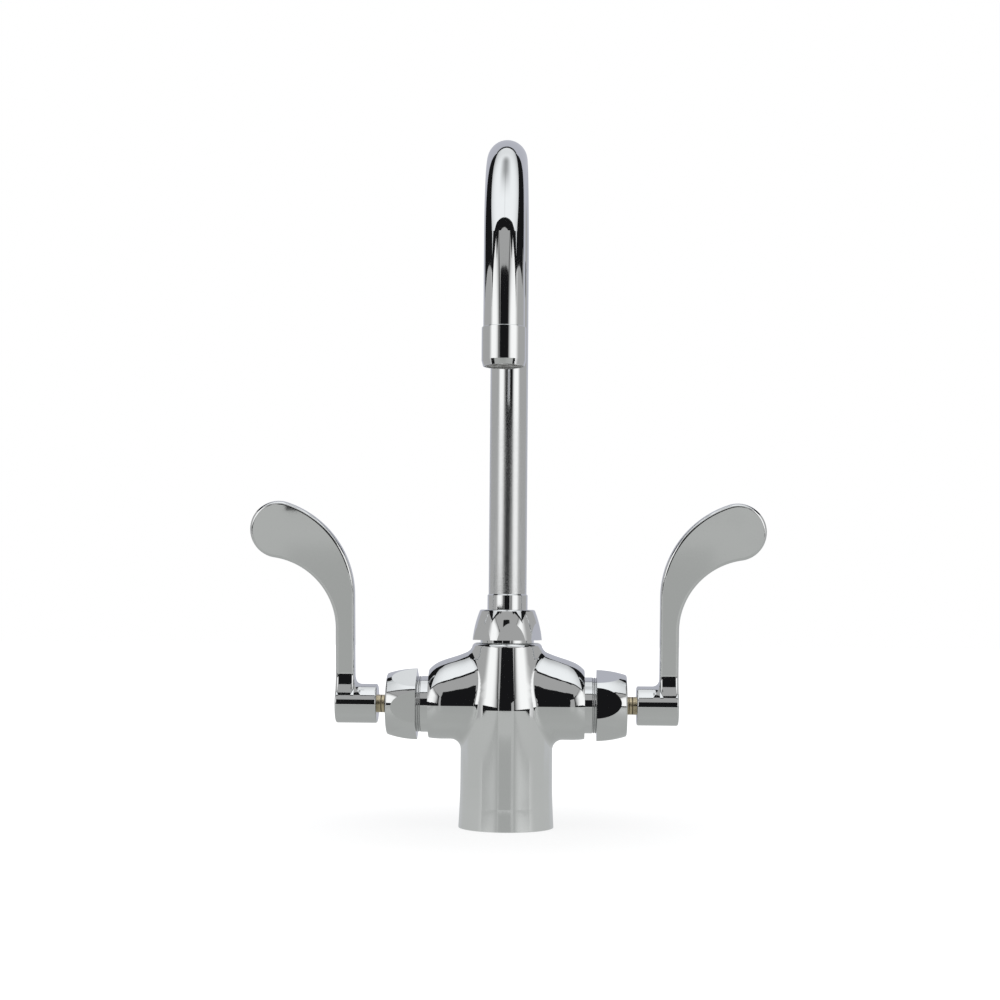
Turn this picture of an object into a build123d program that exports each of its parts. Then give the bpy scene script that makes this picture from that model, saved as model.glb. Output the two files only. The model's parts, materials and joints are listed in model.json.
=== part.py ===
from build123d import *
import math
import os

os.makedirs("parts", exist_ok=True)

# Two-handle laboratory mixing faucet. Millimetres, +Z up, origin at the middle of
# the underside. The spout reaches towards -Y, the hot arm lies along -X, cold along +X.

# Angles are in degrees
half_turn = 180

# Body casting
base_radius = 23.8
column_radius = 23.0
flare_height = 16.0
flare_blend = 200.0
axis_height = 61.0
shoulder_rise = 1.0
shoulder_blend = 30.0
neck_radius = 17.2
neck_rise = 31.0
neck_top_radius = 2.6
arm_reach = 39.0
arm_half_width = 17.6
arm_stations = (
    # share of arm_reach, height over the axis, depth under it, share of arm_half_width
    (0.20, 30.4, 17.4, 1.0),
    (0.53, 26.0, 17.4, 1.0),
    (0.79, 22.5, 17.3, 0.99),
    (0.92, 20.2, 17.2, 0.95),
    (1.00, 17.4, 16.8, 0.885),
)
arm_root_blend = 5.0

# Arm post that carries the bonnet nut. Bars that fuse run into each other by the overlap
fuse_overlap = 1.0
collar_radius = 14.0
collar_length = 3.7
arm_post_radius = 13.6
arm_post_length = 16.1
chamber_radius = 11.0
chamber_floor = 16.0
seat_port_radius = 5.0
post_chamfer = 0.6

# Underside: socket for the mounting shank, two supply ports, gasket groove
shank_socket_radius = 13.6
shank_socket_depth = 14.0
inlet_radius = 4.6
inlet_length = 12.0
inlet_spacing = 13.0
waterway_radius = 3.4
gasket_inner_radius = 17.2
gasket_width = 2.8
gasket_depth = 2.2
gasket_recess = 0.1

# Spout socket on top of the body
spout_post_radius = 13.4
spout_post_height = 10.4
spout_bore_radius = 11.0
spout_bore_depth = 26.0
mixing_port_radius = 2.6

# Nuts
spout_nut_radius = 17.4
spout_nut_flats = 31.8
spout_nut_length = 15.2
spout_nut_lean = 5.3
spout_nut_top_radius = 13.7
spout_nut_gap = 1.4
bonnet_nut_radius = 17.75
bonnet_nut_flats = 32.1
bonnet_nut_length = 15.1
bonnet_nut_lean = 1.0
bonnet_nut_end_radius = 15.2
bonnet_nut_lip = 3.2
nut_edge_radius = 1.2
spout_nut_turn = 8.5
hot_nut_turn = 3.0
cold_nut_turn = -7.0

# Swivel ferrule, thrust washer and seals of the spout
ferrule_bottom_gap = 2.0
ferrule_flange_radius = 12.6
ferrule_flange_thickness = 2.5
ferrule_sleeve_radius = 10.1
ferrule_sleeve_show = 7.8
ferrule_bore_radius = 7.6
tube_seat_depth = 19.4
washer_thickness = 0.8
swivel_clearance = 0.05
sleeve_clearance = 0.15
ferrule_edge = 0.6
seal_gap = 0.02
seal_groove_play = 0.15
seal_wire_radius = 0.9
spout_seal_spacing = 6.0
spout_seal_offset = 5.0

# Gooseneck tube
tube_radius = 9.525
tube_wall = 1.25
spout_reach = 89.0
riser_height = 189.0
outlet_drop = 51.5

# Aerator
aerator_radius = 10.2
aerator_overhang = 9.5
aerator_length = 18.0
aerator_lip_radius = 8.9
aerator_lip_height = 1.0
aerator_bottom_chamfer = 0.7
aerator_bottom_taper = 2.6
aerator_top_chamfer = 0.3
thread_turn_down = 0.25
aerator_washer_thickness = 1.6
screen_thickness = 0.5
screen_inner_radius = 6.6
insert_clearance = 0.03
insert_wall = 1.4
insert_rib = 1.1
insert_rib_count = 3

# Ceramic cartridge
cartridge_waist_radius = 9.7
cartridge_land_clearance = 0.05
cartridge_front_land = 6.4
cartridge_back_land = 9.0
cartridge_flange_radius = 13.1
cartridge_flange_thickness = 1.8
cartridge_neck_radius = 7.4
cartridge_neck_length = 2.2
cartridge_window_length = 3.6
cartridge_window_height = 7.0
seat_seal_thickness = 1.2
disc_radius = 8.9
disc_thickness = 3.2
disc_port_outer = 6.8
disc_port_inner = 2.8
disc_port_angle = 76.0
disc_gap = 0.05
pocket_clearance = 0.1
driver_thickness = 4.0
driver_length = 15.0
driver_width = 6.0
tang_length = 12.0
tang_width = 3.4
tang_depth = 1.4
tang_clearance = 0.05

# Stem
stem_radius = 4.45
stem_bore_clearance = 0.05
stem_show = 4.9
spline_radius = 3.8
spline_length = 10.4
stem_groove_depth = 1.35
stem_seal_setback = 5.0
clip_radius = 6.0
clip_thickness = 0.7
clip_gap = 0.1
clip_depth = 0.8
clip_opening = 70.0

# Wrist blade handle
hub_radius = 9.8
hub_length = 20.8
hub_counterbore = 2.2
hub_edge_radius = 0.9
blade_arm_width = 9.4
blade_height = 102.0
blade_sweep = 42.9
blade_tip_radius = 14.2
blade_upper_radius = 49.0
blade_lower_radius = 36.0
blade_root_height = 15.0
blade_root_thickness = 7.8
blade_tip_thickness = 5.0
blade_root_blend = 21.0
blade_hub_fillet = 3.4
blade_rim_radius = 1.6
blade_lean = 8.0
hub_bore_clearance = 0.05
screw_radius = 2.0
screw_engagement = 6.0
screw_head_radius = 3.6
screw_head_length = 3.0
screw_socket_width = 2.5
screw_socket_depth = 1.8
screw_recess_radius = 4.2
hub_web = 4.0
index_ring_radius = 5.8
index_ring_thickness = 1.2
index_ring_recess = 0.1

# Places worked out from the sizes above
body_top = axis_height + neck_rise
collar_end = arm_reach + collar_length
post_end = arm_reach + arm_post_length
lip_face = post_end + cartridge_flange_thickness
bonnet_nut_end = lip_face + bonnet_nut_lip
bonnet_nut_start = bonnet_nut_end - bonnet_nut_length
cartridge_front = chamber_floor + seat_seal_thickness
moving_disc_front = cartridge_front + disc_thickness + disc_gap
driver_front = moving_disc_front + disc_thickness
pocket_end = driver_front + driver_thickness + pocket_clearance
cartridge_end = lip_face + cartridge_neck_length
clip_front = cartridge_end + clip_gap
spout_post_top = body_top + spout_post_height
spout_bore_bottom = body_top - spout_bore_depth
flange_bottom = spout_post_top + pocket_clearance
flange_top = flange_bottom + ferrule_flange_thickness
washer_bottom = flange_top + swivel_clearance
washer_top = washer_bottom + washer_thickness
spout_nut_bottom = body_top + spout_nut_gap
spout_nut_top = spout_nut_bottom + spout_nut_length
ferrule_top = spout_nut_top + ferrule_sleeve_show
ferrule_bottom = spout_bore_bottom + ferrule_bottom_gap
ferrule_radius = spout_bore_radius - swivel_clearance
tube_bottom = ferrule_top - tube_seat_depth
arch_height = body_top + riser_height
arch_radius = spout_reach / 2
outlet_height = arch_height - outlet_drop
aerator_bottom = outlet_height - aerator_overhang
aerator_top = aerator_bottom + aerator_length
hub_start = bonnet_nut_end + stem_show
hub_end = hub_start + hub_length
blade_reach = hub_end + blade_sweep
stem_shoulder = hub_start + hub_counterbore
stem_end = stem_shoulder + spline_length
hub_web_face = stem_end + hub_bore_clearance + hub_web


def save(node, shape):
    export_step(shape, "parts/" + node + ".step")


def rod(start, end, radius, height=axis_height):
    """A round bar along X at the given height."""
    plane = Plane(origin=(start, 0, height), x_dir=(0, 1, 0), z_dir=(1, 0, 0))
    return extrude(plane * Circle(radius), end - start)


def pipe(start, end, outer, inner, height=axis_height):
    return rod(start, end, outer, height) - rod(start, end, inner, height)


def post(bottom, top, radius, x=0, y=0):
    """An upright round bar."""
    return Pos(x, y, bottom) * extrude(Circle(radius), top - bottom)


def tube(bottom, top, outer, inner, y=0):
    return post(bottom, top, outer, 0, y) - post(bottom, top, inner, 0, y)


def upright_ring(height, ring_radius, wire_radius):
    """A rubber ring that lies level around the Z axis."""
    section = Plane.XZ * Pos(ring_radius, height) * Circle(wire_radius)
    return revolve(section, Axis.Z)


def arm_ring(x, ring_radius, wire_radius):
    """A rubber ring around the axis of the arm."""
    return Pos(x, 0, axis_height) * Rot(0, 90, 0) * upright_ring(0, ring_radius, wire_radius)


def mirrored(shape):
    return mirror(shape, about=Plane.YZ)


def domed_nut(radius, flats, length, lean, end_radius, bore, hole, lip):
    """A hex nut turned to a dome, so that each flat ends in an arch. It stands on z = 0,
    where its side already leans in."""
    foot = Line((0, 0), (radius, 0))
    inward = (-math.sin(math.radians(lean)), math.cos(math.radians(lean)))
    crown = TangentArc((radius, 0), (end_radius, length), tangent=inward)
    top = Polyline((end_radius, length), (0, length), (0, 0))
    dome = revolve(Plane.XZ * make_face(Curve() + [foot, crown, top]), Axis.Z)
    top_edge = dome.edges().filter_by(GeomType.CIRCLE).group_by(Axis.Z)[-1]
    dome = fillet(top_edge, nut_edge_radius)
    hexagon = extrude(RegularPolygon(flats / 2, 6, major_radius=False), length)
    nut = dome & hexagon
    nut -= extrude(Circle(bore), length - lip)
    nut -= extrude(Circle(hole), length)
    return nut


def body_profile():
    """Half section of the upright part: flared foot, column and the neck that tapers above it."""
    flare = (column_radius, flare_height)
    shoulder = (column_radius, axis_height + shoulder_rise)
    outline = Polyline(
        (0, 0), (base_radius, 0), flare, shoulder, (neck_radius, body_top), (0, body_top), (0, 0)
    )
    face = make_face(outline)
    for place, blend in ((shoulder, shoulder_blend), (flare, flare_blend)):
        face = fillet(face.vertices().sort_by_distance(place)[0], blend)
    return face


def arm_section(x, over, under, half_width):
    """Egg-shaped cross-section of an arm: round below the axis, taller above it."""
    plane = Plane(origin=(x, 0, axis_height), x_dir=(0, 1, 0), z_dir=(1, 0, 0))
    upper = EllipticalCenterArc((0, 0), half_width, over, 0, arc_size=half_turn)
    lower = EllipticalCenterArc((0, 0), half_width, under, half_turn, arc_size=half_turn)
    return plane * make_face(upper + lower)


def body_arm():
    """Arm whose top slopes down to a barrel-shaped end."""
    sections = [
        arm_section(share * arm_reach, over, under, width * arm_half_width)
        for share, over, under, width in arm_stations
    ]
    return loft(sections)


def body_outside():
    """Upright column with both arms blended into it."""
    outside = revolve(Plane.XZ * body_profile(), Axis.Z)
    rims = outside.edges().filter_by(GeomType.CIRCLE).group_by(Axis.Z)
    outside = fillet(rims[-1], neck_top_radius)
    right = body_arm()
    for arm in (right, mirrored(right)):
        joined = outside + arm
        outside = fillet(new_edges(outside, arm, combined=joined), arm_root_blend)
    return outside


def arm_post():
    """Plain collar and the post that takes the thread of the bonnet nut."""
    root = arm_reach - fuse_overlap
    collar = rod(root, collar_end, collar_radius)
    thread = rod(root, post_end, arm_post_radius)
    rim = thread.edges().filter_by(GeomType.CIRCLE).group_by(Axis.X)[-1]
    return collar + chamfer(rim, post_chamfer)


def arm_waterways():
    """Chamber of the cartridge, the port behind its seat and the way to the spout."""
    inlet_x = inlet_spacing / 2
    chamber = rod(chamber_floor, post_end, chamber_radius)
    seat_port = rod(inlet_x, chamber_floor, seat_port_radius)
    supply = post(shank_socket_depth, axis_height, waterway_radius, inlet_x)
    inlet = post(shank_socket_depth, shank_socket_depth + inlet_length, inlet_radius, inlet_x)
    mixing_start = spout_bore_radius - mixing_port_radius
    mixing_end = chamber_floor + 2 * mixing_port_radius
    mixing = rod(mixing_start, mixing_end, mixing_port_radius, axis_height + chamber_radius)
    return chamber + seat_port + supply + inlet + mixing


def body_casting():
    casting = body_outside()
    spout_post = post(body_top - fuse_overlap, spout_post_top, spout_post_radius)
    rim = spout_post.edges().filter_by(GeomType.CIRCLE).group_by(Axis.Z)[-1]
    casting += chamfer(rim, post_chamfer)
    arm = arm_post()
    casting += arm + mirrored(arm)
    ways = arm_waterways()
    casting -= ways
    casting -= mirrored(ways)
    casting -= post(spout_bore_bottom, spout_post_top, spout_bore_radius)
    casting -= post(0, shank_socket_depth, shank_socket_radius)
    casting -= tube(0, gasket_depth, gasket_inner_radius + gasket_width, gasket_inner_radius)
    return casting


def base_gasket():
    outer = gasket_inner_radius + gasket_width
    return tube(gasket_recess, gasket_depth, outer, gasket_inner_radius)


def spout_nut():
    hole = ferrule_sleeve_radius + sleeve_clearance
    nut = domed_nut(
        spout_nut_radius, spout_nut_flats, spout_nut_length, spout_nut_lean,
        spout_nut_top_radius, spout_post_radius, hole, spout_nut_top - washer_top,
    )
    return Pos(0, 0, spout_nut_bottom) * Rot(0, 0, spout_nut_turn) * nut


def bonnet_nut(turn):
    hole = cartridge_neck_radius + pocket_clearance
    nut = domed_nut(
        bonnet_nut_radius, bonnet_nut_flats, bonnet_nut_length, bonnet_nut_lean,
        bonnet_nut_end_radius, arm_post_radius, hole, bonnet_nut_lip,
    )
    return Pos(bonnet_nut_start, 0, axis_height) * Rot(0, 90, 0) * Rot(0, 0, turn) * nut


def sector(inner, outer, angle, turn):
    """Flat ring sector centred on the direction given by turn."""
    reach = 2 * outer
    half = math.radians(angle / 2)
    corner = (reach * math.cos(half), reach * math.sin(half))
    wedge = make_face(Polyline((0, 0), corner, (corner[0], -corner[1]), (0, 0)))
    return Rot(0, 0, turn) * (wedge & (Circle(outer) - Circle(inner)))


def ceramic_disc(front, turn):
    """Disc with two ports. A quarter turn against its twin shuts the water off."""
    plane = Plane(origin=(front, 0, axis_height), x_dir=(0, 1, 0), z_dir=(1, 0, 0))
    face = Circle(disc_radius)
    for side in (0, half_turn):
        face -= sector(disc_port_inner, disc_port_outer, disc_port_angle, turn + side)
    return extrude(plane * face, disc_thickness)


def fixed_disc():
    return ceramic_disc(cartridge_front, 90)


def moving_disc():
    gap = 2 * tang_clearance
    slot = Box(tang_depth, tang_width + gap, tang_length + gap)
    return ceramic_disc(moving_disc_front, 0) - Pos(driver_front - tang_depth / 2, 0, axis_height) * slot


def seat_seal():
    return pipe(chamber_floor, cartridge_front, disc_radius, seat_port_radius)


def cartridge_body():
    """Brass bonnet of the cartridge: two lands, a waist with water windows, flange and neck."""
    land = chamber_radius - cartridge_land_clearance
    back_land = post_end - cartridge_back_land
    shell = rod(cartridge_front, post_end, cartridge_waist_radius)
    shell += rod(cartridge_front, cartridge_front + cartridge_front_land, land)
    shell += rod(back_land, post_end, land)
    shell += rod(post_end, lip_face, cartridge_flange_radius)
    shell += rod(lip_face, cartridge_end, cartridge_neck_radius)
    shell -= rod(cartridge_front, pocket_end, disc_radius + pocket_clearance)
    shell -= rod(pocket_end, cartridge_end, stem_radius + stem_bore_clearance)
    window = Box(cartridge_window_length, 2 * chamber_radius, cartridge_window_height)
    shell -= Pos(pocket_end - cartridge_window_length / 2, 0, axis_height) * window
    groove_x = back_land + cartridge_back_land / 2
    floor = chamber_radius - 2 * seal_wire_radius
    groove = seal_wire_radius + seal_groove_play
    shell -= pipe(groove_x - groove, groove_x + groove, chamber_radius, floor)
    return shell


def cartridge_seal():
    groove_x = post_end - cartridge_back_land / 2
    return arm_ring(groove_x, chamber_radius - seal_wire_radius, seal_wire_radius)


def stem():
    """Stem with the driver that turns the ceramic disc, seal and clip grooves, driving end."""
    driver_end = driver_front + driver_thickness
    middle = (driver_front + driver_end) / 2
    driver = Pos(middle, 0, axis_height) * Box(driver_thickness, driver_width, driver_length)
    tang = Pos(driver_front - tang_depth / 2, 0, axis_height) * Box(tang_depth, tang_width, tang_length)
    shaft = rod(driver_end - fuse_overlap, stem_shoulder, stem_radius)
    shaft += rod(stem_shoulder, stem_end, spline_radius)
    tip = shaft.edges().filter_by(GeomType.CIRCLE).group_by(Axis.X)[-1]
    shaft = chamfer(tip, post_chamfer)
    shaft += driver + tang
    seal_x = post_end - stem_seal_setback
    half = stem_seal_wire() + seal_groove_play
    shaft -= pipe(seal_x - half, seal_x + half, 2 * stem_radius, stem_radius - stem_groove_depth)
    shaft -= pipe(clip_front, clip_front + clip_thickness, 2 * stem_radius, stem_radius - clip_depth)
    shaft -= rod(stem_end - screw_engagement, stem_end, screw_radius)
    return shaft


def stem_seal_wire():
    return (stem_groove_depth + stem_bore_clearance - seal_gap) / 2


def stem_seal():
    floor = stem_radius - stem_groove_depth
    return arm_ring(post_end - stem_seal_setback, floor + stem_seal_wire(), stem_seal_wire())


def stem_clip():
    """Open retaining ring outside the cartridge neck."""
    inner = stem_radius - clip_depth
    plane = Plane(origin=(clip_front, 0, axis_height), x_dir=(0, 1, 0), z_dir=(1, 0, 0))
    face = Circle(clip_radius) - Circle(inner) - sector(inner / 2, 2 * clip_radius, clip_opening, -90)
    return extrude(plane * face, clip_thickness)


def blade_outline():
    """Front view of the blade from the hub axis up: straight arm, swept paddle, round tip."""
    arm_outer = hub_end
    arm_inner = arm_outer - blade_arm_width
    tip = Vector(blade_reach - blade_tip_radius, blade_height - blade_tip_radius)
    upper_x = arm_inner + blade_upper_radius
    upper_span = blade_upper_radius - blade_tip_radius
    upper = Vector(upper_x, tip.Y - math.sqrt(upper_span**2 - (upper_x - tip.X) ** 2))
    lower_x = arm_outer + blade_lower_radius
    lower_span = blade_lower_radius + blade_tip_radius
    lower = Vector(lower_x, tip.Y - math.sqrt(lower_span**2 - (lower_x - tip.X) ** 2))
    top_joint = tip + (tip - upper).normalized() * blade_tip_radius
    low_joint = tip + (lower - tip).normalized() * blade_tip_radius
    far = tip + Vector(1, 0) * blade_tip_radius
    inner_side = Line((arm_inner, 0), (arm_inner, upper.Y))
    top = TangentArc((arm_inner, upper.Y), top_joint, tangent=(0, 1))
    end = ThreePointArc(top_joint, far, low_joint)
    bottom = TangentArc((arm_outer, lower.Y), low_joint, tangent=(0, 1))
    outer_side = Polyline((arm_outer, lower.Y), (arm_outer, 0), (arm_inner, 0))
    return make_face(Curve() + [inner_side, top, end, bottom, outer_side])


def blade_side():
    """Side view of the handle: hub circle, blended into a blade that thins towards its tip."""
    taper = (blade_root_thickness - blade_tip_thickness) / (blade_height - blade_root_height)
    foot = (blade_root_thickness + taper * blade_root_height) / 2
    tip = blade_tip_thickness / 2
    blade = make_face(
        Polyline((-foot, 0), (foot, 0), (tip, blade_height), (-tip, blade_height), (-foot, 0))
    )
    side = blade + Circle(hub_radius)
    corners = [v for v in side.vertices() if 0 < v.Y < blade_height / 2]
    return fillet(corners, blade_root_blend)


def blade_rims(blade):
    """Edges around the front and back of the blade, above the blend to the hub."""
    low = blade_root_height
    return [
        edge for edge in blade.edges()
        if abs(edge.center().Y) > blade_rim_radius / 2
        and edge.bounding_box().min.Z > low
        and edge.bounding_box().size.Z > blade_rim_radius / 4
    ]


def hub_flare():
    """Solid of revolution about the hub axis with the hollow that leads up to the arm."""
    arm_inner = hub_end - blade_arm_width
    start = arm_inner - blade_hub_fillet
    crest = hub_radius + blade_hub_fillet
    hollow = TangentArc((start, hub_radius), (arm_inner, crest), tangent=(1, 0))
    rest = Polyline((arm_inner, crest), (arm_inner, 0), (start, 0), (start, hub_radius))
    return revolve(Plane.XZ * make_face(Curve() + [hollow, rest]), Axis.X)


def wrist_blade():
    """Forged handle: a hub across the stem and a swept blade that leans to the user."""
    slab = extrude(Plane.XZ * blade_outline(), hub_radius, both=True)
    profile = Plane(origin=(0, 0, 0), x_dir=(0, 1, 0), z_dir=(1, 0, 0)) * blade_side()
    side = extrude(profile, blade_reach)
    blade = slab & side
    blade = fillet(blade_rims(blade), blade_rim_radius)
    hub = rod(hub_start, hub_end, hub_radius, 0)
    hub = fillet(hub.edges().filter_by(GeomType.CIRCLE), hub_edge_radius)
    handle = blade + (hub_flare() & side) + hub
    handle = Pos(0, 0, axis_height) * Rot(blade_lean, 0, 0) * handle
    handle -= rod(hub_start, stem_shoulder, stem_radius + hub_bore_clearance)
    handle -= rod(hub_start, stem_end + hub_bore_clearance, spline_radius + hub_bore_clearance)
    handle -= rod(stem_end, hub_end, screw_radius + hub_bore_clearance)
    handle -= rod(hub_web_face, hub_end, screw_recess_radius)
    handle -= rod(hub_end - index_ring_thickness, hub_end, index_ring_radius)
    return handle


def handle_screw():
    head_end = hub_web_face + screw_head_length
    screw = rod(stem_end - screw_engagement, hub_web_face, screw_radius)
    screw += rod(hub_web_face, head_end, screw_head_radius)
    plane = Plane(origin=(head_end, 0, axis_height), x_dir=(0, 1, 0), z_dir=(-1, 0, 0))
    key = extrude(plane * RegularPolygon(screw_socket_width / 2, 6, major_radius=False), screw_socket_depth)
    return screw - key


def index_ring():
    start = hub_end - index_ring_thickness
    outer = index_ring_radius - hub_bore_clearance
    return pipe(start, hub_end - index_ring_recess, outer, screw_recess_radius)


def spout_ferrule():
    """Brass foot of the gooseneck: spigot with two seal grooves, flange and tube sleeve."""
    foot = post(ferrule_bottom, flange_bottom, ferrule_radius)
    rim = foot.edges().filter_by(GeomType.CIRCLE).group_by(Axis.Z)[0]
    foot = chamfer(rim, post_chamfer)
    sleeve = post(flange_bottom, ferrule_top, ferrule_sleeve_radius)
    rim = sleeve.edges().filter_by(GeomType.CIRCLE).group_by(Axis.Z)[-1]
    sleeve = chamfer(rim, ferrule_edge)
    ferrule = foot + post(flange_bottom, flange_top, ferrule_flange_radius) + sleeve
    ferrule -= post(ferrule_bottom, ferrule_top, ferrule_bore_radius)
    ferrule -= post(tube_bottom, ferrule_top, tube_radius)
    groove = seal_wire_radius + seal_groove_play
    for height in spout_seal_heights():
        ferrule -= tube(height - groove, height + groove, spout_bore_radius, spout_seal_floor())
    return ferrule


def spout_seal_heights():
    first = ferrule_bottom + spout_seal_offset
    return (first, first + spout_seal_spacing)


def spout_seal_floor():
    return spout_bore_radius - seal_gap - 2 * seal_wire_radius


def spout_seals():
    ring_radius = spout_seal_floor() + seal_wire_radius
    return Compound([upright_ring(height, ring_radius, seal_wire_radius) for height in spout_seal_heights()])


def thrust_washer():
    return tube(washer_bottom, washer_top, ferrule_flange_radius, ferrule_sleeve_radius + sleeve_clearance)


def gooseneck_path(start, end):
    up = Line((0, 0, start), (0, 0, arch_height))
    arch = ThreePointArc(
        (0, 0, arch_height), (0, -arch_radius, arch_height + arch_radius), (0, -spout_reach, arch_height)
    )
    down = Line((0, -spout_reach, arch_height), (0, -spout_reach, end))
    return Wire([up, arch, down])


def gooseneck_tube():
    """Tube bent over to the outlet, its end turned down for the aerator's thread."""
    section = Plane.XY.offset(tube_bottom) * (Circle(tube_radius) - Circle(tube_radius - tube_wall))
    neck = sweep(section, path=gooseneck_path(tube_bottom, outlet_height))
    thread = tube_radius - thread_turn_down
    return neck - tube(outlet_height, aerator_top, 2 * tube_radius, thread, -spout_reach)


def aerator_shell():
    """Round shell screwed on the spout's end, open below inside a small lip."""
    inside = tube_radius - thread_turn_down
    foot = aerator_radius - aerator_bottom_chamfer
    brim = aerator_radius - aerator_top_chamfer
    section = Polyline(
        (aerator_lip_radius, aerator_bottom),
        (foot, aerator_bottom),
        (aerator_radius, aerator_bottom + aerator_bottom_taper),
        (aerator_radius, aerator_top - aerator_top_chamfer),
        (brim, aerator_top),
        (inside, aerator_top),
        (inside, aerator_bottom + aerator_lip_height),
        (aerator_lip_radius, aerator_bottom + aerator_lip_height),
        (aerator_lip_radius, aerator_bottom),
    )
    return Pos(0, -spout_reach, 0) * revolve(Plane.XZ * make_face(section), Axis.Z)


def insert_radius():
    return tube_radius - thread_turn_down - insert_clearance


def insert_top():
    return outlet_height - aerator_washer_thickness - screen_thickness


def aerator_washer():
    bottom = outlet_height - aerator_washer_thickness
    return tube(bottom, outlet_height, insert_radius(), screen_inner_radius, -spout_reach)


def aerator_screen():
    bottom = insert_top()
    return post(bottom, bottom + screen_thickness, insert_radius(), 0, -spout_reach)


def aerator_insert():
    """Plastic flow former: a ring with crossing ribs."""
    bottom = aerator_bottom + aerator_lip_height
    height = insert_top() - bottom
    ring = Circle(insert_radius()) - Circle(insert_radius() - insert_wall)
    for step in range(insert_rib_count):
        rib = Rectangle(2 * (insert_radius() - insert_wall / 2), insert_rib)
        ring += Rot(0, 0, step * half_turn / insert_rib_count) * rib
    return Pos(0, -spout_reach, bottom) * extrude(ring, height)


def main():
    save("body_casting", body_casting())
    save("base_gasket", base_gasket())
    save("spout_nut", spout_nut())
    save("thrust_washer", thrust_washer())
    save("spout_ferrule", spout_ferrule())
    save("spout_seals", spout_seals())
    save("gooseneck_tube", gooseneck_tube())
    save("aerator_shell", aerator_shell())
    save("aerator_washer", aerator_washer())
    save("aerator_screen", aerator_screen())
    save("aerator_insert", aerator_insert())
    save("cold_bonnet_nut", bonnet_nut(cold_nut_turn))
    save("hot_bonnet_nut", mirrored(bonnet_nut(hot_nut_turn)))
    sides = {
        "seat_seal": seat_seal(),
        "fixed_disc": fixed_disc(),
        "moving_disc": moving_disc(),
        "cartridge_body": cartridge_body(),
        "cartridge_seal": cartridge_seal(),
        "stem": stem(),
        "stem_seal": stem_seal(),
        "stem_clip": stem_clip(),
        "wrist_blade": wrist_blade(),
        "handle_screw": handle_screw(),
        "index_ring": index_ring(),
    }
    for name, shape in sides.items():
        save("cold_" + name, shape)
        save("hot_" + name, mirrored(shape))


main()
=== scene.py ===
import json
import math

import bmesh
import bpy
from mathutils import Matrix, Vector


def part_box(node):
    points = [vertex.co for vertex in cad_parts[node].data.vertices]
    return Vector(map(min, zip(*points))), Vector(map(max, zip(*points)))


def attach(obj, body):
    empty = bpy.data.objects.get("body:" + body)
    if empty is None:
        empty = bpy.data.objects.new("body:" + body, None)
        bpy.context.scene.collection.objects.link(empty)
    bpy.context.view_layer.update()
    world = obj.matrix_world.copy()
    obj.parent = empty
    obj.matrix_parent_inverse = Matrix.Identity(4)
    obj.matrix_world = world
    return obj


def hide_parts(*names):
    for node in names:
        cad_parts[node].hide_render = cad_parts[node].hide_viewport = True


bl_info = {
    "name": "Laboratory Faucet",
    "version": (1, 0, 0),
    "blender": (4, 5, 0),
    "location": "3D View > Sidebar > Faucet",
    "description": "Dresses a two-handle laboratory faucet in polished chrome and brass",
    "category": "Add Mesh",
}

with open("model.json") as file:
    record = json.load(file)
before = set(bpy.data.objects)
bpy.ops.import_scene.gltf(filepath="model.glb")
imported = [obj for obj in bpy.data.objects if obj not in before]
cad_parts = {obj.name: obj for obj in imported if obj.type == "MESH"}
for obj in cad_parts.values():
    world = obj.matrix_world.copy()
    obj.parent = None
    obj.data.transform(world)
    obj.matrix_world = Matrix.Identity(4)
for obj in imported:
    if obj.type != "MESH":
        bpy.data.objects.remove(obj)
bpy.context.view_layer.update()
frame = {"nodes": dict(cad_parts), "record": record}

MM = 0.001
QUARTER_TURN = math.pi / 2
WHITE = (1.0, 1.0, 1.0, 1.0)

# Sockets of a Mix node that mixes colours
COLOUR_A, COLOUR_B, COLOUR_RESULT = 6, 7, 2

# The riser's brushing, in metres: it fades out upwards between two heights, and towards the outlet's side
BRUSHING_FADES = (0.190, 0.232)
RISER_BEGINS = (-0.045, -0.030)

# Dark grooves around each stem, in metres: distance from the riser's axis, and half width
STEM_GROOVES = ((0.0612, 0.0001), (0.0630, 0.00015))
GROOVE_BLUR = 0.0002
GROOVE_COLOUR = (0.10, 0.08, 0.05, 1.0)

# Screw threads: steps in a turn, sides of the rounded crest, and turns that show on an arm
THREAD_STEPS = 72
CREST_SIDES = 8
ARM_THREAD_TURNS = 3.0

# Aerator screen: sides of a wire, width of a layer in screen radii, and lift of the upper layer in wire radii
WIRE_SIDES = 6
LAYER_WIDTH = 1.94
LAYER_LIFT = 1.8

# Floor and mat, in metres
FLOOR_HALF = 4.0
MAT_HALF = 1.6
MAT_HEIGHT = 0.0002
SHADOW_FADES = (0.03, 0.30)
SHADOW_SHARE = 0.32
FLOOR_GLOW = 1.22
WORLD_GLOW = 0.42

# The light tent that the metal mirrors, in metres around the foot, with the front at -Y.
# Its sheets were placed by trial until the front view's reflections came near.
ROOM_HALF = 1.6
ROOM_BACK = 0.60
ROOM_TOP = 1.8

# Black opening in front: its corners across and up
GAP_Y = -0.713
GAP_CORNERS = (
    (-0.22, 0.02), (0.165, 0.02), (0.165, 0.20), (0.27, 0.24), (0.27, 0.389), (0.0, 0.382), (-0.22, 0.387),
)

# Side walls, with the lamp's patch on them. They step down from front to back.
WALL_X = 0.43
WALL_FOOT = 0.028
WALL_ENDS = (-1.2, 0.42)
WALL_STEP = (-0.26, -0.12)
WALL_FRONT_TOP = 0.46
LAMP_RISES = (-1.20, -0.50)
LAMP_FADES_UP = (0.34, 0.50)

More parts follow.
